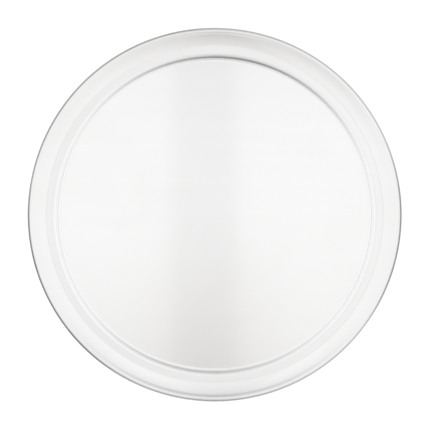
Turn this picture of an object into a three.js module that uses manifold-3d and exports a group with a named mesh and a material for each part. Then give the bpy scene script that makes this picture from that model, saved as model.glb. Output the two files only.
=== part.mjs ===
// A round pizza pan pressed from one aluminium sheet: flat base, short steep wall, wide rim that rises
// gently, and an edge rolled into a bead over a steel wire.
// Millimetres, +Z up. The origin is the middle of the base's underside, on the pan's axis.
import * as THREE from "three";
import { mergeVertices } from "three/addons/utils/BufferGeometryUtils.js";
import Module from "manifold-3d";

// Driving dimensions, in millimetres and degrees
const OUTER_DIAMETER = 304.8; // over the bead
const OVERALL_HEIGHT = 7.9375; // from the underside of the base to the top of the bead
const SHEET_THICKNESS = 1.0;
const HEEL_RADIUS = 10; // above the sheet, where the base starts to curve up
const HEEL_SLOPE = 11; // where the heel meets the corner
const BASE_BEND_RADIUS = 0.8; // inside the corner between heel and wall
const WALL_ANGLE = 68; // between wall and base plane
const RIM_BEND_RADIUS = 0.4; // under the sheet, between wall and rim
const SHOULDER_RADIUS = 16; // under the sheet, where the rim levels out
const SHOULDER_SLOPE = 9; // where the wall's upper bend meets the shoulder
const SHELF_WIDTH = 5.4; // the nearly level ring at the inner side of the rim
const SHELF_SLOPE = 4;
const BREAK_RADIUS = 10; // above the sheet, where the shelf turns up into the flare
const FLARE_WIDTH = 8.5; // the ring that curves up from the shelf to the lip
const FLARE_INNER_SLOPE = 7;
const FLARE_OUTER_SLOPE = 10.5;
const ROOT_RADIUS = 5; // above the sheet, where the flare turns up to the lip
const LIP_WIDTH = 1.1; // the straight ring below the bead
const LIP_SLOPE = 17;
const CROWN_RADIUS = 6.2; // under the sheet, where it comes over level at the top of the bead
const WIRE_DIAMETER = 2.5;
const WIRE_CLEARANCE = 0.2; // between the wire and the inside of the bead
const WIRE_BUTT_GAP = 1.0; // between the two ends of the wire
const HEM_GAP = 0.3; // between the sheet's cut edge and the underside of the lip

// Facet counts
const FACETS_AROUND = 80;
const HEEL_STEPS = 2;
const BEND_STEPS = 3;
const SHOULDER_STEPS = 2;
const BREAK_STEPS = 1;
const FLARE_STEPS = 2;
const ROOT_STEPS = 2;
const CROWN_STEPS = 2;
const BEAD_QUARTER_STEPS = 4;
const HEM_STEPS = 5;
const WIRE_SIDES = 12;

const radians = THREE.MathUtils.degToRad;

// Sizes that follow from the driving dimensions. Bend radii are those of the sheet's middle surface.
const halfSheet = SHEET_THICKNESS / 2;
const heelSlope = radians(HEEL_SLOPE);
const wallAngle = radians(WALL_ANGLE);
const shoulderSlope = radians(SHOULDER_SLOPE);
const shelfSlope = radians(SHELF_SLOPE);
const flareInner = radians(FLARE_INNER_SLOPE);
const flareOuter = radians(FLARE_OUTER_SLOPE);
const lipSlope = radians(LIP_SLOPE);
const heelBend = HEEL_RADIUS + halfSheet;
const baseBend = BASE_BEND_RADIUS + halfSheet;
const rimBend = RIM_BEND_RADIUS + halfSheet;
const shoulderBend = SHOULDER_RADIUS + halfSheet;
const breakBend = BREAK_RADIUS + halfSheet;
const flareBend = FLARE_WIDTH / (Math.sin(flareOuter) - Math.sin(flareInner));
const rootBend = ROOT_RADIUS + halfSheet;
const crownBend = CROWN_RADIUS + halfSheet;
const crownRise = crownBend * (1 - Math.cos(lipSlope));
const beadInside = WIRE_DIAMETER / 2 + WIRE_CLEARANCE;
const beadOutside = beadInside + SHEET_THICKNESS;
const curlBend = beadInside + halfSheet;

// The bead's centre, in the half plane through the axis
const beadCentre = { r: OUTER_DIAMETER / 2 - beadOutside, z: OVERALL_HEIGHT - beadOutside };

// The wall takes the height that the base, the bends and the rim leave over.
const rimEnd = {
  r: beadCentre.r - crownBend * Math.sin(lipSlope),
  z: beadCentre.z + curlBend - crownRise,
};
const bendsRise =
  heelBend * (1 - Math.cos(heelSlope)) +
  baseBend * (Math.cos(heelSlope) - Math.cos(wallAngle)) +
  rimBend * (Math.cos(shoulderSlope) - Math.cos(wallAngle));
const rimRise =
  shoulderBend * (Math.cos(shelfSlope) - Math.cos(shoulderSlope)) +
  SHELF_WIDTH * Math.tan(shelfSlope) +
  breakBend * (Math.cos(shelfSlope) - Math.cos(flareInner)) +
  flareBend * (Math.cos(flareInner) - Math.cos(flareOuter)) +
  rootBend * (Math.cos(flareOuter) - Math.cos(lipSlope)) +
  LIP_WIDTH * Math.tan(lipSlope);
const wallLength = (rimEnd.z - halfSheet - bendsRise - rimRise) / Math.sin(wallAngle);

// The base takes the radius that the wall and the rim leave over.
const wallRun =
  heelBend * Math.sin(heelSlope) +
  baseBend * (Math.sin(wallAngle) - Math.sin(heelSlope)) +
  wallLength * Math.cos(wallAngle) +
  rimBend * (Math.sin(wallAngle) - Math.sin(shoulderSlope));
const rimRun =
  shoulderBend * (Math.sin(shoulderSlope) - Math.sin(shelfSlope)) +
  SHELF_WIDTH +
  breakBend * (Math.sin(flareInner) - Math.sin(shelfSlope)) +
  FLARE_WIDTH +
  rootBend * (Math.sin(lipSlope) - Math.sin(flareOuter)) +
  LIP_WIDTH;
const baseRadius = rimEnd.r - rimRun - wallRun;

// The bead is rolled from its top down its outer quarter, under its lower quarter, and then up inside
// until the sheet's cut edge is just below the lip.
const quarterTurn = Math.PI / 2;
const beadToLip = beadInside * Math.cos(lipSlope) + CROWN_RADIUS * (1 - Math.cos(lipSlope));
const hemTurn = quarterTurn - lipSlope + Math.asin((beadToLip - HEM_GAP) / beadOutside);

// The middle line of a bent sheet in the half plane through the axis, drawn from the axis outwards.
class SheetLine {
  constructor(r, z) {
    this.point = new THREE.Vector2(r, z);
    this.heading = 0;
    this.stations = [];
    this.mark();
  }

  mark() {
    this.stations.push({ point: this.point.clone(), normal: this.normal() });
  }

  // The unit vector square to the sheet, on its upper side where the sheet lies flat
  normal() {
    return new THREE.Vector2(-Math.sin(this.heading), Math.cos(this.heading));
  }

  straight(length) {
    this.point.x += length * Math.cos(this.heading);
    this.point.y += length * Math.sin(this.heading);
    this.mark();
  }

  // A bend of the given radius. A positive angle turns the sheet upwards.
  bend(radius, angle, steps) {
    const side = radius * Math.sign(angle);
    const centre = this.point.clone().addScaledVector(this.normal(), side);
    for (let i = 0; i < steps; i++) {
      this.heading += angle / steps;
      this.point.copy(centre).addScaledVector(this.normal(), -side);
      this.mark();
    }
  }

  // One face of the sheet, offset from the middle line
  face(offset) {
    return this.stations.map(({ point, normal }) => point.clone().addScaledVector(normal, offset));
  }
}

// The pan's section, from the middle of its underside round the edge to the middle of its upper face
function panSection() {
  const line = new SheetLine(0, halfSheet);
  line.straight(baseRadius);
  line.bend(heelBend, heelSlope, HEEL_STEPS);
  line.bend(baseBend, wallAngle - heelSlope, BEND_STEPS);
  line.straight(wallLength);
  line.bend(rimBend, shoulderSlope - wallAngle, BEND_STEPS);
  line.bend(shoulderBend, shelfSlope - shoulderSlope, SHOULDER_STEPS);
  line.straight(SHELF_WIDTH / Math.cos(shelfSlope));
  line.bend(breakBend, flareInner - shelfSlope, BREAK_STEPS);
  line.bend(flareBend, flareOuter - flareInner, FLARE_STEPS);
  line.bend(rootBend, lipSlope - flareOuter, ROOT_STEPS);
  line.straight(LIP_WIDTH / Math.cos(lipSlope));
  line.bend(crownBend, -lipSlope, CROWN_STEPS);
  line.bend(curlBend, -quarterTurn, BEAD_QUARTER_STEPS);
  line.bend(curlBend, -quarterTurn, BEAD_QUARTER_STEPS);
  line.bend(curlBend, -hemTurn, HEM_STEPS);
  return [...line.face(-halfSheet), ...line.face(halfSheet).reverse()];
}

// The wire's round section, closed on itself
function wireSection() {
  const points = [];
  for (let i = 0; i <= WIRE_SIDES; i++) {
    const angle = ((i % WIRE_SIDES) / WIRE_SIDES) * 2 * Math.PI;
    const r = beadCentre.r + (WIRE_DIAMETER / 2) * Math.cos(angle);
    const z = beadCentre.z + (WIRE_DIAMETER / 2) * Math.sin(angle);
    points.push(new THREE.Vector2(r, z));
  }
  return points;
}

// Turned forms have three.js's upright Y axis here, and the whole group is stood up at the end.
function turned(section) {
  return new THREE.LatheGeometry(section, FACETS_AROUND);
}

const wasm = await Module();
wasm.setup();

// A closed geometry as a solid that can be cut
function solidOf(geometry) {
  const bare = geometry.clone();
  bare.deleteAttribute("normal");
  bare.deleteAttribute("uv");
  const merged = mergeVertices(bare);
  return new wasm.Manifold(
    new wasm.Mesh({
      numProp: 3,
      vertProperties: new Float32Array(merged.attributes.position.array),
      triVerts: new Uint32Array(merged.index.array),
    }),
  );
}

function geometryOf(solid) {
  const mesh = solid.getMesh();
  const geometry = new THREE.BufferGeometry();
  geometry.setAttribute("position", new THREE.BufferAttribute(mesh.vertProperties, 3));
  geometry.setIndex(new THREE.BufferAttribute(mesh.triVerts, 1));
  geometry.computeVertexNormals();
  return geometry;
}

// A hoop of wire whose two ends meet at a small butt gap
function wireGeometry() {
  const acrossWire = WIRE_DIAMETER + WIRE_CLEARANCE;
  const gap = new THREE.BoxGeometry(WIRE_BUTT_GAP, acrossWire, acrossWire);
  gap.translate(0, beadCentre.z, beadCentre.r);
  return geometryOf(solidOf(turned(wireSection())).subtract(solidOf(gap)));
}

const aluminium = new THREE.MeshStandardMaterial({ color: 0xe4e4e3, roughness: 0.3, metalness: 1 });
const steelWire = new THREE.MeshStandardMaterial({ color: 0x9a9c9f, roughness: 0.4, metalness: 1 });

const pan = new THREE.Mesh(turned(panSection()), aluminium);
pan.name = "pan";

const rimWire = new THREE.Mesh(wireGeometry(), steelWire);
rimWire.name = "rim_wire";

const pizzaPan = new THREE.Group();
pizzaPan.add(pan, rimWire);
pizzaPan.rotation.x = Math.PI / 2;

export default pizzaPan;
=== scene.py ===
"""A round pizza pan of satin aluminium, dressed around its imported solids.

One pressed sheet makes the flat base, the short wall and the wide rim, and its edge is rolled into a
bead over a hoop of steel wire. Lengths are metres, +Z is up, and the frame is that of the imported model.
"""

import logging
import math
from dataclasses import dataclass, field
from enum import Enum
from typing import Union

import bmesh
import bpy
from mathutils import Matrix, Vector


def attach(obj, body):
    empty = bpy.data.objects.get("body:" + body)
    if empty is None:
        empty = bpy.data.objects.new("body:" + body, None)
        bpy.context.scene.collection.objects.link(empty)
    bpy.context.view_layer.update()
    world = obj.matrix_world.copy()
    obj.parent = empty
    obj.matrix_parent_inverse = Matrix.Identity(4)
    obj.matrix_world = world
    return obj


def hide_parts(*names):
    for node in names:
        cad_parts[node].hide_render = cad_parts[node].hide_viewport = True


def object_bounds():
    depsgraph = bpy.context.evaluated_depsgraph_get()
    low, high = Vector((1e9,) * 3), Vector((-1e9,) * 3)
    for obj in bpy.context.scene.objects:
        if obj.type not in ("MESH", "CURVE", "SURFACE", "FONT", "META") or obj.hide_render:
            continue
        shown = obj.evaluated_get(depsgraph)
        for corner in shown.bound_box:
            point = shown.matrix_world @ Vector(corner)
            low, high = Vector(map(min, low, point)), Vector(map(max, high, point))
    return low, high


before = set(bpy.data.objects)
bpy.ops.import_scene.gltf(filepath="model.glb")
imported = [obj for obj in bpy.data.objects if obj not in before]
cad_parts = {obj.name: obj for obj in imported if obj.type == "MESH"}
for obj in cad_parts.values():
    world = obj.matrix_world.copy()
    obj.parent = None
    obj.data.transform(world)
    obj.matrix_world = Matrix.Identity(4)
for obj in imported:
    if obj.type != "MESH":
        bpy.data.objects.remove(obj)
CAD_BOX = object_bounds()

LOG = logging.getLogger("pizza_pan")
BODY = "root"
SHEET_MAP = "sheet"
MM = 0.001
WELD = 0.001 * MM  # corners nearer than this are one
NEARLY_NOTHING = 0.0001  # keeps a division off zero
WHITE = (1.0, 1.0, 1.0, 1.0)

# A Mix node's colour sockets, whose names its number sockets have too
MIX_FIRST, MIX_SECOND, MIX_RESULT = 6, 7, 2

Colour = tuple[float, float, float, float]
Socket = bpy.types.NodeSocket
Feed = Union[Socket, float, int, tuple, bpy.types.Material]


def smooth_step(value: float, low: float, high: float) -> float:
    """Rises smoothly from 0 to 1.

    Args:
        value: Where to read the step.
        low: Where the rise starts.
        high: Where the rise ends.

    Returns:
        A share from 0 to 1.
    """
    share = min(1.0, max(0.0, (value - low) / (high - low)))
    return share * share * (3.0 - 2.0 * share)


class NodeBench:
    """Adds and joins the nodes of one tree."""

    def __init__(self, tree: bpy.types.NodeTree) -> None:
        """Takes the tree to work on."""
        self.tree = tree

    def add(self, kind: str, **settings: object) -> bpy.types.Node:
        """Adds one node.

        Args:
            kind: Blender's name for the node's type.
            **settings: Properties to set on the node.

        Returns:
            The new node.
        """
        node = self.tree.nodes.new(kind)
        for name, value in settings.items():
            setattr(node, name, value)
        return node

    def feed(self, socket: Socket, value: Feed) -> None:
        """Joins an output to an input, or sets the input's own value.

        Args:
            socket: The input.
            value: An output socket or a plain value.
        """
        if isinstance(value, Socket):
            self.tree.links.new(value, socket)
        else:
            socket.default_value = value

    def fill(self, node: bpy.types.Node, **values: Feed) -> bpy.types.Node:
        """Feeds a node's inputs by name.

        Args:
            node: The node whose inputs are fed.
            **values: Input names, with an underscore for each space, and what goes in.

        Returns:
            The same node.
        """
        for name, value in values.items():
            self.feed(node.inputs[name.replace("_", " ")], value)
        return node

    def math(self, operation: str, *values: Feed) -> Socket:
        """Adds one Math node.

        Args:
            operation: The node's operation.
            *values: Its operands, in order.

        Returns:
            The result.
        """
        node = self.add("ShaderNodeMath", operation=operation)
        for socket, value in zip(node.inputs, values):
            self.feed(socket, value)
        return node.outputs[0]

    def carried(self, name: str) -> Socket:
        """Reads a number that the mesh carries, in a material.

        Args:
            name: The number's name on the mesh.

        Returns:
            The number.
        """
        return self.add("ShaderNodeAttribute", attribute_name=name).outputs["Fac"]

    def vector(self, operation: str, *values: Feed) -> bpy.types.Node:
        """Adds one Vector Math node.

        Args:
            operation: The node's operation.
            *values: Its operands, in order.

        Returns:
            The node, whose result is at Vector or Value.
        """
        node = self.add("ShaderNodeVectorMath", operation=operation)
        for socket, value in zip(node.inputs, values):
            self.feed(socket, value)
        return node

    def ramp(self, value: Feed, low: Feed, high: Feed, start: Feed = 0.0, end: Feed = 1.0) -> Socket:
        """Adds a smooth step from one value to another.

        Args:
            value: What drives the step.
            low: Where the step starts.
            high: Where the step ends.
            start: The result at low.
            end: The result at high.

        Returns:
            The stepped value.
        """
        node = self.add("ShaderNodeMapRange", interpolation_type="SMOOTHSTEP")
        self.fill(node, Value=value, From_Min=low, From_Max=high, To_Min=start, To_Max=end)
        return node.outputs["Result"]

    def blend(self, share: Feed, first: Feed, second: Feed) -> Socket:
        """Adds a mix of two colours.

        Args:
            share: How much of the second shows, from 0 to 1.
            first: The colour at 0.
            second: The colour at 1.

        Returns:
            The mixed colour.
        """
        node = self.add("ShaderNodeMix", data_type="RGBA")
        self.feed(node.inputs["Factor"], share)
        self.feed(node.inputs[MIX_FIRST], first)
        self.feed(node.inputs[MIX_SECOND], second)
        return node.outputs[MIX_RESULT]


class GroupTree:
    """A node group with a named interface."""

    def __init__(self, name: str, kind: str) -> None:
        """Makes the empty group.

        Args:
            name: The group's name.
            kind: ShaderNodeTree or GeometryNodeTree.
        """
        self.tree = bpy.data.node_groups.new(name, kind)
        self.bench = NodeBench(self.tree)

    def take(self, name: str, kind: str) -> None:
        """Adds a named input of the given socket kind."""
        self.tree.interface.new_socket(name=name, in_out="INPUT", socket_type=kind)

    def give(self, name: str, kind: str) -> None:
        """Adds a named output of the given socket kind."""
        self.tree.interface.new_socket(name=name, in_out="OUTPUT", socket_type=kind)

    def ends(self) -> tuple[bpy.types.Node, bpy.types.Node]:
        """Returns the group's input and output nodes."""
        return self.bench.add("NodeGroupInput"), self.bench.add("NodeGroupOutput")

    def drive(self, modifier: bpy.types.NodesModifier, values: dict[str, Feed]) -> None:
        """Sets a modifier's inputs by the sockets' identifiers.

        Args:
            modifier: The modifier that runs this group.
            values: Input names and their values.
        """
        modifier.node_group = self.tree
        for item in self.tree.interface.items_tree:
            if item.item_type == "SOCKET" and item.in_out == "INPUT" and item.name in values:
                modifier[item.identifier] = values[item.name]


class Effects:
    """Surface effects that the metals share, each a shader node group.

    A range gives the noise levels at which a mask starts and is full.
    """

    LINE_NOISE = {"Scale": 1.0, "Detail": 3.0, "Roughness": 0.62}
    STREAK_NOISE = {"Scale": 0.07, "Detail": 2.0, "Roughness": 0.5}
    STREAK_RANGE = (0.35, 0.65)
    FILM_NOISE = {"Detail": 4.0, "Roughness": 0.6, "Distortion": 0.6}
    FILM_RANGE = (0.42, 0.68)

    def __init__(self) -> None:
        """Builds both groups once."""
        self.grain = self._grain()
        self.film = self._film()

    def _grain(self) -> bpy.types.NodeTree:
        """Returns the group for fine parallel lines, long one way and narrow across."""
        group = GroupTree("drawn_grain", "ShaderNodeTree")
        group.take("Vector", "NodeSocketVector")
        group.take("Stretch", "NodeSocketVector")
        group.give("Lines", "NodeSocketFloat")
        group.give("Streaks", "NodeSocketFloat")
        bench = group.bench
        source, sink = group.ends()
        laid = bench.vector("MULTIPLY", source.outputs["Vector"], source.outputs["Stretch"])
        fine = bench.add("ShaderNodeTexNoise", noise_dimensions="3D")
        bench.fill(fine, Vector=laid.outputs["Vector"], **self.LINE_NOISE)
        broad = bench.add("ShaderNodeTexNoise", noise_dimensions="3D")
        bench.fill(broad, Vector=laid.outputs["Vector"], **self.STREAK_NOISE)
        streaks = bench.ramp(broad.outputs[0], *self.STREAK_RANGE)
        bench.fill(sink, Lines=fine.outputs[0], Streaks=streaks)
        return group.tree

    def _film(self) -> bpy.types.NodeTree:
        """Returns the group for a thin uneven film of oxide, as handling leaves it."""
        group = GroupTree("dull_film", "ShaderNodeTree")
        group.take("Vector", "NodeSocketVector")
        group.take("Patches", "NodeSocketFloat")
        group.give("Mask", "NodeSocketFloat")
        bench = group.bench
        source, sink = group.ends()
        cloud = bench.add("ShaderNodeTexNoise", noise_dimensions="3D")
        bench.fill(cloud, Vector=source.outputs["Vector"], Scale=source.outputs["Patches"])
        bench.fill(cloud, **self.FILM_NOISE)
        bench.fill(sink, Mask=bench.ramp(cloud.outputs[0], *self.FILM_RANGE))
        return group.tree


@dataclass(frozen=True)
class Metal:
    """A metal with drawn grain under a thin uneven film."""

    name: str
    bright: Colour
    filmed: Colour
    roughness: float
    rough_film: float
    grain_stretch: tuple[float, float, float]
    film_patches: float
    bump_strength: float
    bump_depth: float = 0.02 * MM

    def material(self, effects: Effects) -> bpy.types.Material:
        """Makes the material.

        Args:
            effects: The shared surface effects.

        Returns:
            The new material.
        """
        material = bpy.data.materials.new(self.name)
        material.use_nodes = True
        bench = NodeBench(material.node_tree)
        shader = material.node_tree.nodes["Principled BSDF"]
        where = bench.add("ShaderNodeTexCoord").outputs["Object"]
        grain = bench.add("ShaderNodeGroup", node_tree=effects.grain)
        bench.fill(grain, Vector=where, Stretch=self.grain_stretch)
        film = bench.add("ShaderNodeGroup", node_tree=effects.film)
        bench.fill(film, Vector=where, Patches=self.film_patches)
        bump = bench.add("ShaderNodeBump")
        bench.fill(bump, Strength=self.bump_strength, Distance=self.bump_depth)
        bench.fill(bump, Height=grain.outputs["Lines"])
        bench.fill(shader, Metallic=1.0, Normal=bump.outputs["Normal"])
        self.finish(bench, shader, grain, film.outputs["Mask"])
        return material

    def finish(
        self, bench: NodeBench, shader: bpy.types.Node, grain: bpy.types.Node, mask: Socket
    ) -> None:
        """Feeds the shader's colour and roughness.

        Args:
            bench: The material's bench.
            shader: The material's shader.
            grain: The grain, which gives Lines and Streaks.
            mask: How much film lies where.
        """
        rough = bench.math("MULTIPLY_ADD", mask, self.rough_film, self.roughness)
        bench.fill(shader, Base_Color=bench.blend(mask, self.bright, self.filmed), Roughness=rough)


@dataclass(frozen=True)
class SatinAluminium(Metal):
    """Bright rolled aluminium sheet, satin across its grain.

    The wall is coloured lighter where it slopes. The shelf is painted greyer, a painted shade for the
    dimmer reflection it shows. The bead's outer side is painted dark grey, a painted dark reflection,
    and the rim a faint painted shade. The film makes that grey uneven, between the two levels of
    uneven_edge_shade.
    """

    name: str = "satin_aluminium"
    bright: Colour = (0.945, 0.945, 0.944, 1.0)
    filmed: Colour = (0.925, 0.922, 0.917, 1.0)
    # The wall and its bends are coloured this lighter where they slope.
    wall_lightened: Colour = (0.99, 0.99, 0.989, 1.0)
    # Painted shade: the shelf is painted this greyer colour, standing in for the dimmer reflection it
    # shows.
    shelf_shade_grey: Colour = (0.8, 0.8, 0.798, 1.0)
    # Painted shade: the bead's outer side is painted this dark grey, standing in for a dark reflection.
    edge_shade_grey: Colour = (0.205, 0.202, 0.199, 1.0)
    roughness: float = 0.1
    rough_film: float = 0.008
    rough_lines: float = 0.015
    edge_shade_roughness: float = 0.16
    anisotropy: float = 0.94
    grain_stretch: tuple[float, float, float] = (9.0, 1100.0, 1100.0)
    film_patches: float = 14.0
    film_share: float = 0.35
    streak_share: float = 0.25
    uneven_edge_shade: tuple[float, float] = (-2.5, 0.5)
    bump_strength: float = 0.05

    def finish(
        self, bench: NodeBench, shader: bpy.types.Node, grain: bpy.types.Node, mask: Socket
    ) -> None:
        """Feeds the shader's colour, roughness and lie of the grain, with the mesh's painted shades.

        Args:
            bench: The material's bench.
            shader: The material's shader.
            grain: The grain, which gives Lines and Streaks.
            mask: How much film lies where.
        """
        dull = bench.math("MULTIPLY", mask, self.film_share)
        dull = bench.math("MULTIPLY_ADD", grain.outputs["Streaks"], self.streak_share, dull)
        sheet = bench.blend(dull, self.bright, self.filmed)
        # Lighter on the wall's slopes.
        sheet = bench.blend(bench.carried("wall_lightening"), sheet, self.wall_lightened)
        # Painted shade greys the shelf.
        sheet = bench.blend(bench.carried("stack"), sheet, self.shelf_shade_grey)
        # Painted shade: the bead's outer side darkens towards that grey, a painted dark reflection, and
        # the rim faintly.
        edge_shaded = bench.math("MULTIPLY", bench.carried("edge_shade"), bench.ramp(mask, *self.uneven_edge_shade))
        rough = bench.math("MULTIPLY_ADD", mask, self.rough_film, self.roughness)
        rough = bench.math("MULTIPLY_ADD", grain.outputs["Lines"], self.rough_lines, rough)
        rough = bench.math("MULTIPLY_ADD", edge_shaded, self.edge_shade_roughness, rough)
        along = bench.add("ShaderNodeTangent", direction_type="UV_MAP", uv_map=SHEET_MAP)
        bench.fill(shader, Base_Color=bench.blend(edge_shaded, sheet, self.edge_shade_grey), Roughness=rough)
        bench.fill(shader, Anisotropic=self.anisotropy, Tangent=along.outputs["Tangent"])


@dataclass(frozen=True)
class DrawnSteel(Metal):
    """Bright drawn steel wire, greyed by its oxide film."""

    name: str = "drawn_steel"
    bright: Colour = (0.6, 0.61, 0.62, 1.0)
    filmed: Colour = (0.36, 0.35, 0.34, 1.0)
    roughness: float = 0.3
    rough_film: float = 0.18
    grain_stretch: tuple[float, float, float] = (700.0, 700.0, 2600.0)
    film_patches: float = 60.0
    bump_strength: float = 0.2


class Zone(Enum):
    """The parts of the pan's section, from the middle outwards."""

    BASE = "flat base"
    WALL = "wall and its bends"
    SHELF = "shelf and its bends"
    FLARE = "flare"
    LIP = "lip and its bends"
    BEAD = "edge bead"


class Face(Enum):
    """The two faces of the sheet, by their offset from its middle line."""

    UPPER = 0.5
    UNDER = -0.5


@dataclass
class Station:
    """One point of the sheet's middle line, in the half plane through the axis."""

    r: float
    z: float
    heading: float
    zone: Zone

    def beside(self, offset: float, ahead: float = 0.0) -> tuple[float, float]:
        """Returns the point at an offset square to the sheet, and ahead along it."""
        cos, sin = math.cos(self.heading), math.sin(self.heading)
        return self.r - offset * sin + ahead * cos, self.z + offset * cos + ahead * sin


@dataclass
class SheetLine:
    """The middle line of a bent sheet, drawn from the axis outwards."""

    r: float
    z: float
    heading: float = 0.0
    stations: list[Station] = field(default_factory=list)

    def mark(self, zone: Zone) -> None:
        """Keeps the place that the line has reached."""
        self.stations.append(Station(self.r, self.z, self.heading, zone))

    def straight(self, length: float, zone: Zone, steps: int, support: float) -> None:
        """Goes straight on.

        Args:
            length: How far.
            zone: The part of the section that this draws.
            steps: Even steps along it.
            support: Distance of one more point from each end, which keeps the bends' shading off
                the flat.
        """
        ways = sorted({support, length - support, *(length * (i + 1) / steps for i in range(steps))})
        start = Station(self.r, self.z, self.heading, zone)
        for way in ways:
            self.r, self.z = start.beside(0.0, way)
            self.mark(zone)

    def bend(self, radius: float, angle: float, zone: Zone, steps: int) -> None:
        """Goes round a bend.

        Args:
            radius: The bend's radius at the middle line.
            angle: How far it turns; upwards if positive.
            zone: The part of the section that this draws.
            steps: Even steps round it.
        """
        side = math.copysign(radius, angle)
        start = Station(self.r, self.z, self.heading, zone)
        centre = start.beside(side)
        for i in range(steps):
            self.heading = start.heading + angle * (i + 1) / steps
            turned = Station(*centre, self.heading, zone)
            self.r, self.z = turned.beside(-side)
            self.mark(zone)


@dataclass(frozen=True)
class SectionPoint:
    """One corner of the pan's closed section.

    It carries how far the base ripples there, how dark its painted edge shade is, how much lighter the
    wall is coloured and how much painted shade greys the shelf.
    """

    r: float
    z: float
    sway: float = 0.0
    edge_shade: float = 0.0
    wall_lightening: float = 0.0
    stack: float = 0.0


@dataclass(frozen=True)
class ShadeArc:
    """A stretch of the bead where its painted dark edge is deeper. Angles are degrees about the axis."""

    name: str
    azimuth: float
    reach: float
    darkness: float

    def inputs(self) -> dict[str, float]:
        """Returns the nodes' inputs for this stretch by name: its place, its reach and how dark its
        painted edge is.
        """
        return {
            f"{self.name} Grip": math.radians(self.azimuth),
            f"{self.name} Reach": math.radians(self.reach),
            f"{self.name} Darkness": self.darkness,
        }


def lathe_tree(shade_arcs: tuple[ShadeArc, ...]) -> GroupTree:
    """Builds the nodes that turn a section about the Z axis.

    Args:
        shade_arcs: The stretches of deeper painted dark edge, whose inputs the group takes.

    Returns:
        The group, whose inputs are the section, the counts, the sheet's ripple, the painted shade and the
        finish.
    """
    group = GroupTree("pan_lathe", "GeometryNodeTree")
    group.give("Geometry", "NodeSocketGeometry")
    group.take("Section", "NodeSocketGeometry")
    group.take("Facets Around", "NodeSocketInt")
    for name in ("Ripple", "Ripple Spread", "Seed", "Shade Elsewhere"):
        group.take(name, "NodeSocketFloat")
    for shade_arc in shade_arcs:
        for name in shade_arc.inputs():
            group.take(name, "NodeSocketFloat")
    group.take("Finish", "NodeSocketMaterial")
    bench = group.bench
    source, sink = group.ends()
    section, facets = source.outputs["Section"], source.outputs["Facets Around"]

    count = bench.add("GeometryNodeAttributeDomainSize", component="MESH")
    bench.fill(count, Geometry=section)
    corners = count.outputs["Point Count"]
    grid = bench.add("GeometryNodeMeshGrid")
    bench.fill(grid, Vertices_X=bench.math("ADD", facets, 1.0), Vertices_Y=corners)
    index = bench.add("GeometryNodeInputIndex").outputs["Index"]
    column = bench.math("FLOOR", bench.math("DIVIDE", bench.math("ADD", index, 0.5), corners))
    row = bench.math("SUBTRACT", index, bench.math("MULTIPLY", column, corners))

    def sampled(kind: str, value: Socket) -> Socket:
        """Reads one of the section's values at the grid's row."""
        node = bench.add("GeometryNodeSampleIndex", data_type=kind, domain="POINT")
        bench.fill(node, Geometry=section, Value=value, Index=row)
        return node.outputs["Value"]

    def named(name: str) -> Socket:
        """Reads a number that the section's corners carry."""
        node = bench.add("GeometryNodeInputNamedAttribute", data_type="FLOAT")
        bench.fill(node, Name=name)
        return sampled("FLOAT", node.outputs["Attribute"])

    def stored(made: Socket, name: str, value: Socket) -> Socket:
        """Keeps a number on the mesh for the finish to read."""
        node = bench.add("GeometryNodeStoreNamedAttribute", data_type="FLOAT", domain="POINT")
        bench.fill(node, Geometry=made, Name=name, Value=value)
        return node.outputs["Geometry"]

    place = bench.add("ShaderNodeSeparateXYZ")
    bench.fill(place, Vector=sampled("FLOAT_VECTOR", bench.add("GeometryNodeInputPosition").outputs[0]))
    radius, height = place.outputs["X"], place.outputs["Z"]
    angle = bench.math("MULTIPLY", bench.math("DIVIDE", column, facets), 2.0 * math.pi)
    across = bench.math("MULTIPLY", radius, bench.math("COSINE", angle))
    along = bench.math("MULTIPLY", radius, bench.math("SINE", angle))
    plan = bench.add("ShaderNodeCombineXYZ")
    bench.fill(plan, X=across, Y=along)
    ripple = bench.add("ShaderNodeTexNoise", noise_dimensions="4D")
    bench.fill(ripple, Vector=plan.outputs[0], W=source.outputs["Seed"], Detail=1.0)
    bench.fill(ripple, Scale=bench.math("DIVIDE", 1.0, source.outputs["Ripple Spread"]))
    lift = bench.math("MULTIPLY", ripple.outputs[0], named("sway"))
    point = bench.add("ShaderNodeCombineXYZ")
    bench.fill(point, X=across, Y=along)
    bench.fill(point, Z=bench.math("MULTIPLY_ADD", lift, source.outputs["Ripple"], height))
    placed = bench.add("GeometryNodeSetPosition")
    bench.fill(placed, Geometry=grid.outputs["Mesh"], Position=point.outputs[0])

    # The painted dark edge is deeper within each listed stretch of the bead than elsewhere.
    elsewhere = source.outputs["Shade Elsewhere"]
    shade_share = elsewhere
    for shade_arc in shade_arcs:
        azimuth, reach, darkness = (source.outputs[name] for name in shade_arc.inputs())
        toward = bench.math("COSINE", bench.math("SUBTRACT", angle, azimuth))
        arc_share = bench.ramp(toward, bench.math("COSINE", reach), 1.0, elsewhere, darkness)
        shade_share = bench.math("MAXIMUM", shade_share, arc_share)
    made = stored(placed.outputs["Geometry"], "edge_shade", bench.math("MULTIPLY", named("edge_shade"), shade_share))
    made = stored(made, "wall_lightening", named("wall_lightening"))
    made = stored(made, "stack", named("stack"))
    spot = bench.add("ShaderNodeSeparateXYZ")
    bench.fill(spot, Vector=bench.add("GeometryNodeInputPosition").outputs[0])
    laid = bench.add("ShaderNodeCombineXYZ")
    bench.fill(laid, X=spot.outputs["Y"], Y=bench.math("MULTIPLY", spot.outputs["X"], -1.0))
    mapped = bench.add("GeometryNodeStoreNamedAttribute", data_type="FLOAT2", domain="CORNER")
    bench.fill(mapped, Geometry=made, Name=SHEET_MAP, Value=laid.outputs[0])
    closed = bench.add("GeometryNodeMergeByDistance")
    bench.fill(closed, Geometry=mapped.outputs["Geometry"], Distance=WELD)
    finish_nodes(bench, closed.outputs["Geometry"], source, sink)
    return group


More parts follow.
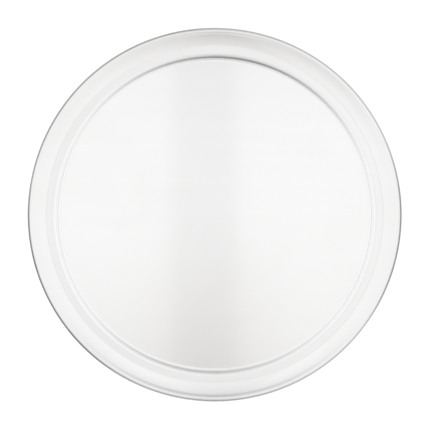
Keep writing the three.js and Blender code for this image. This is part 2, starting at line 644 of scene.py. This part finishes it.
def hoop_tree() -> GroupTree:
    """Builds the nodes that bend a wire into an open hoop.

    Returns:
        The group, whose inputs are the hoop's sizes, its counts and the finish.
    """
    group = GroupTree("wire_hoop", "GeometryNodeTree")
    group.give("Geometry", "NodeSocketGeometry")
    group.take("Geometry", "NodeSocketGeometry")
    for name in ("Hoop Radius", "Wire Radius", "Height", "Butt Gap"):
        group.take(name, "NodeSocketFloat")
    group.take("Facets Around", "NodeSocketInt")
    group.take("Sides", "NodeSocketInt")
    group.take("Finish", "NodeSocketMaterial")
    bench = group.bench
    source, sink = group.ends()
    open_angle = bench.math("DIVIDE", source.outputs["Butt Gap"], source.outputs["Hoop Radius"])
    line = bench.add("GeometryNodeCurveArc", mode="RADIUS")
    bench.fill(line, Resolution=source.outputs["Facets Around"], Radius=source.outputs["Hoop Radius"])
    bench.fill(line, Start_Angle=bench.math("MULTIPLY_ADD", open_angle, 0.5, -0.5 * math.pi))
    bench.fill(line, Sweep_Angle=bench.math("SUBTRACT", 2.0 * math.pi, open_angle))
    ring = bench.add("GeometryNodeCurvePrimitiveCircle", mode="RADIUS")
    bench.fill(ring, Resolution=source.outputs["Sides"], Radius=source.outputs["Wire Radius"])
    swept = bench.add("GeometryNodeCurveToMesh")
    bench.fill(swept, Curve=line.outputs["Curve"], Profile_Curve=ring.outputs["Curve"], Fill_Caps=True)
    up = bench.add("ShaderNodeCombineXYZ")
    bench.fill(up, Z=source.outputs["Height"])
    placed = bench.add("GeometryNodeSetPosition")
    bench.fill(placed, Geometry=swept.outputs["Mesh"], Offset=up.outputs[0])
    finish_nodes(bench, placed.outputs["Geometry"], source, sink)
    return group


def finish_nodes(bench: NodeBench, made: Socket, source: bpy.types.Node, sink: bpy.types.Node) -> None:
    """Ends a tree: smooth shading, real geometry and the finish.

    Args:
        bench: The tree's bench.
        made: The geometry so far.
        source: The tree's input node, with a Finish output.
        sink: The tree's output node.
    """
    smooth = bench.add("GeometryNodeSetShadeSmooth")
    bench.fill(smooth, Geometry=made)
    real = bench.add("GeometryNodeRealizeInstances")
    bench.fill(real, Geometry=smooth.outputs["Geometry"])
    dressed = bench.add("GeometryNodeSetMaterial")
    bench.fill(dressed, Geometry=real.outputs["Geometry"], Material=source.outputs["Finish"])
    bench.fill(sink, Geometry=dressed.outputs["Geometry"])


def grown(
    name: str, seed_mesh: bpy.types.Mesh, group: GroupTree, values: dict[str, Feed]
) -> bpy.types.Object:
    """Runs a tree on a mesh and keeps the result as a plain mesh.

    Args:
        name: The piece's name.
        seed_mesh: The mesh that the tree starts from.
        group: The tree.
        values: The tree's inputs by name.

    Returns:
        The finished object, at the origin and with no modifier.
    """
    piece = bpy.data.objects.new(name, seed_mesh)
    bpy.context.scene.collection.objects.link(piece)
    modifier = piece.modifiers.new(group.tree.name, "NODES")
    group.drive(modifier, values)
    graph = bpy.context.evaluated_depsgraph_get()
    mesh = bpy.data.meshes.new_from_object(
        piece.evaluated_get(graph), preserve_all_data_layers=True, depsgraph=graph
    )
    piece.modifiers.clear()
    piece.data = mesh
    bpy.data.meshes.remove(seed_mesh)
    mesh.name = name
    shell = bmesh.new()
    shell.from_mesh(mesh)
    bmesh.ops.recalc_face_normals(shell, faces=shell.faces)
    shell.to_mesh(mesh)
    shell.free()
    return piece


@dataclass
class RimWire:
    """The steel wire that stiffens the bead, one hoop with its ends butted."""

    diameter: float = 2.5 * MM
    butt_gap: float = 1.0 * MM
    facets_around: int = 256
    sides: int = 16

    def build(self, pan: "Pan", finish: bpy.types.Material) -> bpy.types.Object:
        """Makes the hoop inside the pan's bead.

        Args:
            pan: The pan whose bead holds the wire.
            finish: The wire's material.

        Returns:
            The finished piece.
        """
        radius, height = pan.bead_centre
        values = {
            "Hoop Radius": radius,
            "Wire Radius": self.diameter / 2,
            "Height": height,
            "Butt Gap": self.butt_gap,
            "Facets Around": self.facets_around,
            "Sides": self.sides,
            "Finish": finish,
        }
        return grown("rim_wire_hoop", bpy.data.meshes.new("wire_start"), hoop_tree(), values)


@dataclass
class Pan:
    """The pressed sheet: base, wall, rim and the bead rolled over the wire.

    A pair gives where an effect starts to change and where it is done: shares of the base's radius for
    the ripple, degrees of slope for the painted shades and the lighter wall.
    """

    wire: RimWire
    outer_diameter: float = CAD_BOX[1][0] - CAD_BOX[0][0]
    overall_height: float = CAD_BOX[1][2] - CAD_BOX[0][2]
    sheet: float = 1.0 * MM
    heel_radius: float = 10.0 * MM
    heel_slope: float = math.radians(11.0)
    base_bend: float = 0.8 * MM
    wall_angle: float = math.radians(68.0)
    rim_bend: float = 0.4 * MM
    shoulder_radius: float = 16.0 * MM
    shoulder_slope: float = math.radians(9.0)
    shelf_width: float = 4.62 * MM
    shelf_slope: float = math.radians(3.2)
    break_radius: float = 22.0 * MM
    flare_width: float = 8.1 * MM
    flare_inner: float = math.radians(7.0)
    flare_outer: float = math.radians(10.5)
    root_radius: float = 5.0 * MM
    lip_slope: float = math.radians(17.0)
    lip_width: float = 1.1 * MM
    crown_radius: float = 6.2 * MM
    wire_clearance: float = 0.2 * MM
    hem_gap: float = 0.3 * MM
    edge_round: float = 0.15 * MM
    support: float = 0.35 * MM
    ripple: float = 0.02 * MM
    ripple_spread: float = 0.11
    ripple_seed: float = 7.0
    ripple_fade: tuple[float, float] = (0.8, 1.0)
    # Painted shade: the bead's outer side is painted dark, a painted dark reflection, deeper in these
    # stretches, and the rim faintly grey from the wall outwards.
    shade_arcs: tuple[ShadeArc, ...] = (
        ShadeArc("Left", azimuth=204.0, reach=46.0, darkness=1.0),
        ShadeArc("Right", azimuth=354.0, reach=32.0, darkness=0.85),
        ShadeArc("Back", azimuth=138.0, reach=55.0, darkness=0.77),
    )
    shade_elsewhere: float = 0.5
    rim_edge_shade: float = 0.055
    bead_shade_start: tuple[float, float] = (2.0, 30.0)
    bead_shade_end: tuple[float, float] = (75.0, 110.0)
    # The wall is coloured lighter where it slopes.
    wall_lightening_start: tuple[float, float] = (3.0, 20.0)
    # Painted shade greys the shelf, fading out where the flare steepens.
    shelf_shade_depth: float = 0.19
    shelf_shade_end: tuple[float, float] = (3.5, 8.7)
    facets_around: int = 360
    base_steps: int = 12
    heel_steps: int = 6
    bend_steps: int = 12
    straight_steps: int = 3
    shoulder_steps: int = 6
    break_steps: int = 6
    flare_steps: int = 8
    root_steps: int = 8
    crown_steps: int = 8
    bead_quarter_steps: int = 14
    hem_steps: int = 12
    edge_steps: int = 6

    @property
    def bead_inside(self) -> float:
        """The bead's inner radius."""
        return self.wire.diameter / 2 + self.wire_clearance

    @property
    def bead_outside(self) -> float:
        """The bead's outer radius."""
        return self.bead_inside + self.sheet

    @property
    def bead_centre(self) -> tuple[float, float]:
        """The middle of the bead: its radius about the axis, and its height."""
        return self.outer_diameter / 2 - self.bead_outside, self.overall_height - self.bead_outside

    def middle_line(self) -> SheetLine:
        """Draws the sheet's middle line.

        Returns:
            The line, from the axis to the cut edge under the rim.
        """
        half = self.sheet / 2
        curl = self.bead_inside + half
        heel, wall, lip = self.heel_slope, self.wall_angle, self.lip_slope
        shoulder, shelf = self.shoulder_slope, self.shelf_slope
        flare_bend = self.flare_width / (math.sin(self.flare_outer) - math.sin(self.flare_inner))
        to_shelf = (
            (self.heel_radius + half, 0.0, heel),
            (self.base_bend + half, heel, wall),
            (self.rim_bend + half, wall, shoulder),
            (self.shoulder_radius + half, shoulder, shelf),
        )
        to_bead = (
            (self.break_radius + half, shelf, self.flare_inner),
            (flare_bend, self.flare_inner, self.flare_outer),
            (self.root_radius + half, self.flare_outer, lip),
        )
        rise = self.shelf_width * math.tan(shelf) + self.lip_width * math.tan(lip)
        run = self.shelf_width + self.lip_width
        for radius, start, end in (*to_shelf, *to_bead):
            rise += radius * abs(math.cos(start) - math.cos(end))
            run += radius * abs(math.sin(end) - math.sin(start))
        crown = self.crown_radius + half
        crown_rise = crown * (1.0 - math.cos(lip))
        bead_r, bead_z = self.bead_centre
        wall_length = (bead_z + curl - crown_rise - half - rise) / math.sin(wall)
        base = bead_r - crown * math.sin(lip) - run - wall_length * math.cos(wall)
        to_lip = self.bead_inside * math.cos(lip) + self.crown_radius * (1.0 - math.cos(lip))
        hem = math.pi / 2 - lip + math.asin((to_lip - self.hem_gap) / self.bead_outside)

        line = SheetLine(0.0, half)
        line.mark(Zone.BASE)
        line.straight(base, Zone.BASE, self.base_steps, self.support)
        line.bend(self.heel_radius + half, heel, Zone.WALL, self.heel_steps)
        line.bend(self.base_bend + half, wall - heel, Zone.WALL, self.bend_steps)
        line.straight(wall_length, Zone.WALL, self.straight_steps, self.support)
        line.bend(self.rim_bend + half, shoulder - wall, Zone.WALL, self.bend_steps)
        line.bend(self.shoulder_radius + half, shelf - shoulder, Zone.SHELF, self.shoulder_steps)
        line.straight(self.shelf_width / math.cos(shelf), Zone.SHELF, self.straight_steps, self.support)
        rim_zones = (Zone.SHELF, Zone.FLARE, Zone.LIP)
        rim_steps = (self.break_steps, self.flare_steps, self.root_steps)
        for (radius, start, end), zone, steps in zip(to_bead, rim_zones, rim_steps):
            line.bend(radius, end - start, zone, steps)
        line.straight(self.lip_width / math.cos(lip), Zone.LIP, self.straight_steps, self.support)
        line.bend(crown, -lip, Zone.LIP, self.crown_steps)
        line.bend(curl, -math.pi / 2, Zone.BEAD, self.bead_quarter_steps)
        line.bend(curl, -math.pi / 2, Zone.BEAD, self.bead_quarter_steps)
        line.bend(curl, -hem, Zone.BEAD, self.hem_steps)
        return line

    def section(self) -> list[SectionPoint]:
        """Draws the sheet's closed section.

        Returns:
            Its corners, from the middle of the underside round the edge to the middle of the upper face.
        """
        stations = self.middle_line().stations
        flat_end = max(s.r for s in stations if s.zone is Zone.BASE)
        wall_end = max(s.r for s in stations if s.zone is Zone.WALL)
        bead_r = self.bead_centre[0]

        def corner(station: Station, face: Face) -> SectionPoint:
            """Makes the corner on one face beside a station."""
            r, z = station.beside(face.value * self.sheet)
            if station.zone is Zone.BASE:
                share = station.r / flat_end
                return SectionPoint(r, z, sway=1.0 - smooth_step(share, *self.ripple_fade))
            if face is Face.UNDER:
                return SectionPoint(r, z)
            slope = math.degrees(station.heading)
            # The wall is lighter where it slopes.
            if station.zone is Zone.WALL:
                return SectionPoint(r, z, wall_lightening=smooth_step(slope, *self.wall_lightening_start))
            # Painted shade: the bead darkens as it turns outwards and down, a painted dark reflection.
            if station.zone is Zone.BEAD:
                edge_shade = self.rim_edge_shade + (1.0 - self.rim_edge_shade) * smooth_step(-slope, *self.bead_shade_start)
                return SectionPoint(r, z, edge_shade=edge_shade * (1.0 - smooth_step(-slope, *self.bead_shade_end)))
            # Painted shade on the shelf and the flare's start, none on the lip.
            stack = 0.0
            if station.zone is not Zone.LIP:
                stack = self.shelf_shade_depth * (1.0 - smooth_step(slope, *self.shelf_shade_end))
            # A faint painted shade over the rim, rising from the wall to the bead.
            edge_shade = self.rim_edge_shade * smooth_step(station.r, wall_end, bead_r)
            return SectionPoint(r, z, edge_shade=edge_shade, stack=stack)

        *body, last = stations
        edge = []
        for i in range(self.edge_steps + 1):
            turn = math.pi * (i / self.edge_steps - 0.5)
            ahead = self.edge_round * (math.cos(turn) - 1.0)
            edge.append(SectionPoint(*last.beside(self.sheet / 2 * math.sin(turn), ahead)))
        under = [corner(s, Face.UNDER) for s in body]
        upper = [corner(s, Face.UPPER) for s in reversed(body)]
        return [*under, *edge, *upper]

    def build(self, finish: bpy.types.Material) -> bpy.types.Object:
        """Turns the section about the axis.

        Args:
            finish: The sheet's material.

        Returns:
            The finished piece.
        """
        points = self.section()
        mesh = bpy.data.meshes.new("pan_section")
        edges = [(i, i + 1) for i in range(len(points) - 1)]
        mesh.from_pydata([(p.r, 0.0, p.z) for p in points], edges, [])
        for name in ("sway", "edge_shade", "wall_lightening", "stack"):
            carried = mesh.attributes.new(name, "FLOAT", "POINT")
            carried.data.foreach_set("value", [getattr(p, name) for p in points])
        values = {
            "Facets Around": self.facets_around,
            "Ripple": self.ripple,
            "Ripple Spread": self.ripple_spread,
            "Seed": self.ripple_seed,
            "Shade Elsewhere": self.shade_elsewhere,
            "Finish": finish,
        }
        for shade_arc in self.shade_arcs:
            values.update(shade_arc.inputs())
        return grown("pressed_pan", mesh, lathe_tree(self.shade_arcs), values)


@dataclass(frozen=True)
class TentStep:
    """A smooth change of the tent's light between two heights.

    A height is the Z part of a direction. Above high the light is full, below low it is the given share.
    """

    low: float
    high: float
    share: float

    def level(self, bench: NodeBench, height: Socket) -> Socket:
        """Adds the step's nodes.

        Args:
            bench: The world's bench.
            height: The direction's Z part.

        Returns:
            The share of light at that height.
        """
        return bench.ramp(height, self.low, self.high, self.share, 1.0)


@dataclass(frozen=True)
class DarkBand:
    """A soft dark band of the light tent to one side, an opening or a shade.

    Angles are degrees, near and far from the zenith, side from the band's middle. Near gives where the
    band starts and where it is full, far and side where it starts to fade and where it is gone.
    """

    azimuth: float
    near: tuple[float, float]
    far: tuple[float, float]
    side: tuple[float, float]
    depth: float

    def level(self, bench: NodeBench, way: Socket, height: Socket) -> Socket:
        """Adds the band's nodes.

        Args:
            bench: The world's bench.
            way: The direction of the ray.
            height: The direction's Z part.

        Returns:
            The share of light that the band lets through.
        """
        near_edge, near_core = (math.cos(math.radians(angle)) for angle in self.near)
        far_core, far_edge = (math.cos(math.radians(angle)) for angle in self.far)
        side_core, side_edge = (math.radians(angle) for angle in self.side)
        azimuth = math.radians(self.azimuth)
        middle = (math.cos(azimuth), math.sin(azimuth), 0.0)
        facing = bench.vector("DOT_PRODUCT", way, middle).outputs["Value"]
        spread = bench.math("SUBTRACT", 1.0, bench.math("MULTIPLY", height, height))
        spread = bench.math("SQRT", bench.math("MAXIMUM", spread, NEARLY_NOTHING))
        off = bench.math("ARCCOSINE", bench.math("DIVIDE", facing, spread))
        mask = bench.ramp(off, side_core, side_edge, 1.0, 0.0)
        mask = bench.math("MULTIPLY", mask, bench.ramp(height, far_edge, far_core))
        mask = bench.math("MULTIPLY", mask, bench.ramp(height, near_core, near_edge, 1.0, 0.0))
        return bench.math("MULTIPLY_ADD", mask, -self.depth, 1.0)


@dataclass(frozen=True)
class CeilingShade:
    """A shade on the tent's flat ceiling that deepens towards the front, most of all in the middle.

    Places and widths are shares of the ceiling's height.
    """

    start: float
    full: float
    wide_depth: float
    middle_depth: float
    middle_place: float
    middle_width: float
    lowest: float
    highest: float

    def level(self, bench: NodeBench, aside: Socket, ahead: Socket, height: Socket) -> Socket:
        """Adds the shade's nodes.

        Args:
            bench: The world's bench.
            aside: The ceiling's place to the right.
            ahead: The ceiling's place to the front.
            height: The direction's Z part.

        Returns:
            The share of light that the shade lets through.
        """
        off = bench.math("DIVIDE", bench.math("SUBTRACT", aside, self.middle_place), self.middle_width)
        middle = bench.math("EXPONENT", bench.math("MULTIPLY", bench.math("MULTIPLY", off, off), -1.0))
        depth = bench.math("MULTIPLY_ADD", middle, self.middle_depth, self.wide_depth)
        mask = bench.math("MULTIPLY", bench.ramp(ahead, self.start, self.full), depth)
        mask = bench.math("MULTIPLY", mask, bench.ramp(height, self.lowest, self.highest))
        return bench.math("SUBTRACT", 1.0, mask)


@dataclass
class Studio:
    """A white floor in a soft light tent, seen straight from above."""

    tent_level: float = 1.018
    tent_fall: TentStep = TentStep(low=0.87, high=0.99, share=0.972)
    tent_side: TentStep = TentStep(low=0.62, high=0.8, share=1.03)
    tent_horizon: TentStep = TentStep(low=0.1, high=0.58, share=0.55)
    tent_foot: TentStep = TentStep(low=0.08, high=0.26, share=1.7)
    front_opening: DarkBand = DarkBand(
        azimuth=-98.0, near=(40.0, 54.0), far=(63.0, 76.0), side=(0.0, 70.0), depth=0.79
    )
    front_shade: CeilingShade = CeilingShade(
        start=0.026, full=0.132, wide_depth=0.047, middle_depth=0.136,
        middle_place=-0.0097, middle_width=0.058, lowest=0.93, highest=0.97,
    )
    back_opening: DarkBand = DarkBand(
        azimuth=86.0, near=(46.0, 55.0), far=(64.0, 76.0), side=(0.0, 58.0), depth=0.5
    )
    back_shade: DarkBand = DarkBand(
        azimuth=89.0, near=(5.0, 18.0), far=(25.0, 34.0), side=(0.0, 58.0), depth=0.37
    )
    front_left_shade: DarkBand = DarkBand(
        azimuth=-102.0, near=(7.0, 12.0), far=(28.0, 44.0), side=(18.0, 60.0), depth=0.16
    )
    front_slope: DarkBand = DarkBand(
        azimuth=-90.0, near=(6.0, 14.0), far=(24.0, 38.0), side=(0.0, 95.0), depth=0.06
    )
    back_slope: DarkBand = DarkBand(
        azimuth=90.0, near=(6.0, 14.0), far=(24.0, 38.0), side=(0.0, 95.0), depth=0.06
    )
    shade_tint: Colour = (1.0, 0.98, 0.968, 1.0)
    shade_tint_gain: float = 7.0
    seam_place: float = -0.0097
    seam_core: float = 0.028
    seam_edge: float = 0.032
    seam_depth: float = 0.067
    seam_lowest: float = 0.05
    floor_half: float = 4.0
    floor_drop: float = 0.2 * MM
    floor_glow: float = 0.74
    floor_white: Colour = (0.42, 0.42, 0.42, 1.0)
    camera_lens: float = 90.0
    camera_sensor: float = 36.0
    camera_place: tuple[float, float, float] = (0.25 * MM, -0.25 * MM, 881.5 * MM)

    def light(self) -> None:
        """Makes the world: white to the camera, a tent with soft dark openings to the metal."""
        world = bpy.data.worlds.new("light_tent")
        bpy.context.scene.world = world
        world.use_nodes = True
        bench = NodeBench(world.node_tree)
        way = bench.add("ShaderNodeTexCoord").outputs["Generated"]
        parts = bench.add("ShaderNodeSeparateXYZ")
        bench.fill(parts, Vector=way)
        x, y, z = (parts.outputs[axis] for axis in "XYZ")
        level = self.tent_level
        for step in (self.tent_fall, self.tent_side, self.tent_horizon, self.tent_foot):
            level = bench.math("MULTIPLY", level, step.level(bench, z))
        openings = (self.front_opening, self.back_opening)
        shades = (self.back_shade, self.front_left_shade, self.front_slope, self.back_slope)
        for band in (*openings, *shades):
            level = bench.math("MULTIPLY", level, band.level(bench, way, z))
        ceiling = bench.math("MAXIMUM", z, self.seam_lowest)
        aside = bench.math("DIVIDE", x, ceiling)
        ahead = bench.math("MULTIPLY", bench.math("DIVIDE", y, ceiling), -1.0)
        front = self.front_shade.level(bench, aside, ahead, z)
        level = bench.math("MULTIPLY", level, front)
        off = bench.math("ABSOLUTE", bench.math("SUBTRACT", aside, self.seam_place))
        seam = bench.ramp(off, self.seam_core, self.seam_edge, 1.0 - self.seam_depth, 1.0)
        level = bench.math("MULTIPLY", level, seam)
        warm = bench.math("MULTIPLY", bench.math("SUBTRACT", 1.0, front), self.shade_tint_gain)
        seen = bench.add("ShaderNodeLightPath").outputs["Is Camera Ray"]
        unseen = bench.math("SUBTRACT", 1.0, seen)
        level = bench.math("ADD", bench.math("MULTIPLY", level, unseen), seen)
        warm = bench.math("MULTIPLY", warm, unseen)
        tint = bench.blend(warm, WHITE, self.shade_tint)
        bench.fill(world.node_tree.nodes["Background"], Color=tint, Strength=level)

    def floor(self) -> bpy.types.Object:
        """Makes the floor, white where light reaches it and greyer in the pan's shadow.

        Returns:
            The floor.
        """
        half, low = self.floor_half, -self.floor_drop
        mesh = bpy.data.meshes.new("floor")
        places = [(-half, -half, low), (half, -half, low), (half, half, low), (-half, half, low)]
        mesh.from_pydata(places, [], [(0, 1, 2, 3)])
        material = bpy.data.materials.new("white_floor")
        material.use_nodes = True
        material.node_tree.nodes.clear()
        bench = NodeBench(material.node_tree)
        rays = bench.add("ShaderNodeLightPath").outputs
        seen = bench.math("MAXIMUM", rays["Is Camera Ray"], rays["Is Transmission Ray"])
        seen = bench.math("MAXIMUM", seen, rays["Is Glossy Ray"])
        glow = bench.add("ShaderNodeEmission")
        bench.fill(glow, Strength=bench.math("MULTIPLY", seen, self.floor_glow))
        matte = bench.add("ShaderNodeBsdfDiffuse")
        bench.fill(matte, Color=self.floor_white)
        both = bench.add("ShaderNodeAddShader")
        bench.feed(both.inputs[0], glow.outputs[0])
        bench.feed(both.inputs[1], matte.outputs[0])
        bench.fill(bench.add("ShaderNodeOutputMaterial"), Surface=both.outputs[0])
        mesh.materials.append(material)
        floor = bpy.data.objects.new("floor", mesh)
        bpy.context.scene.collection.objects.link(floor)
        return floor

    def camera(self) -> bpy.types.Object:
        """Makes the camera, looking straight down with +Y at the top of the picture.

        Returns:
            The camera.
        """
        data = bpy.data.cameras.new("camera")
        data.lens = self.camera_lens
        data.sensor_width = self.camera_sensor
        camera = bpy.data.objects.new("camera", data)
        camera.location = self.camera_place
        bpy.context.scene.collection.objects.link(camera)
        bpy.context.scene.camera = camera
        return camera


def corners(box: tuple[Vector, Vector]) -> list[list[float]]:
    """Returns a box's lowest and highest corners as plain lists."""
    return [[float(value) for value in corner] for corner in box]


def main() -> None:
    """Builds the pan, its wire and the studio, and reports each piece."""
    logging.basicConfig(level=logging.INFO, format="%(name)s: %(message)s")
    bpy.context.scene.view_settings.view_transform = "Standard"
    studio = Studio()
    studio.light()
    studio.floor()
    studio.camera()

    effects = Effects()
    wire = RimWire()
    pan = Pan(wire)
    pieces = (
        (pan.build(SatinAluminium().material(effects)), "pan", "aluminium_sheet"),
        (wire.build(pan, DrawnSteel().material(effects)), "rim_wire", "steel_wire"),
    )
    for piece, node, slot in pieces:
        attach(piece, BODY)
        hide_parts(node)
        LOG.info("%s stands for %s: %d faces", piece.name, node, len(piece.data.polygons))


if __name__ == "__main__":
    main()
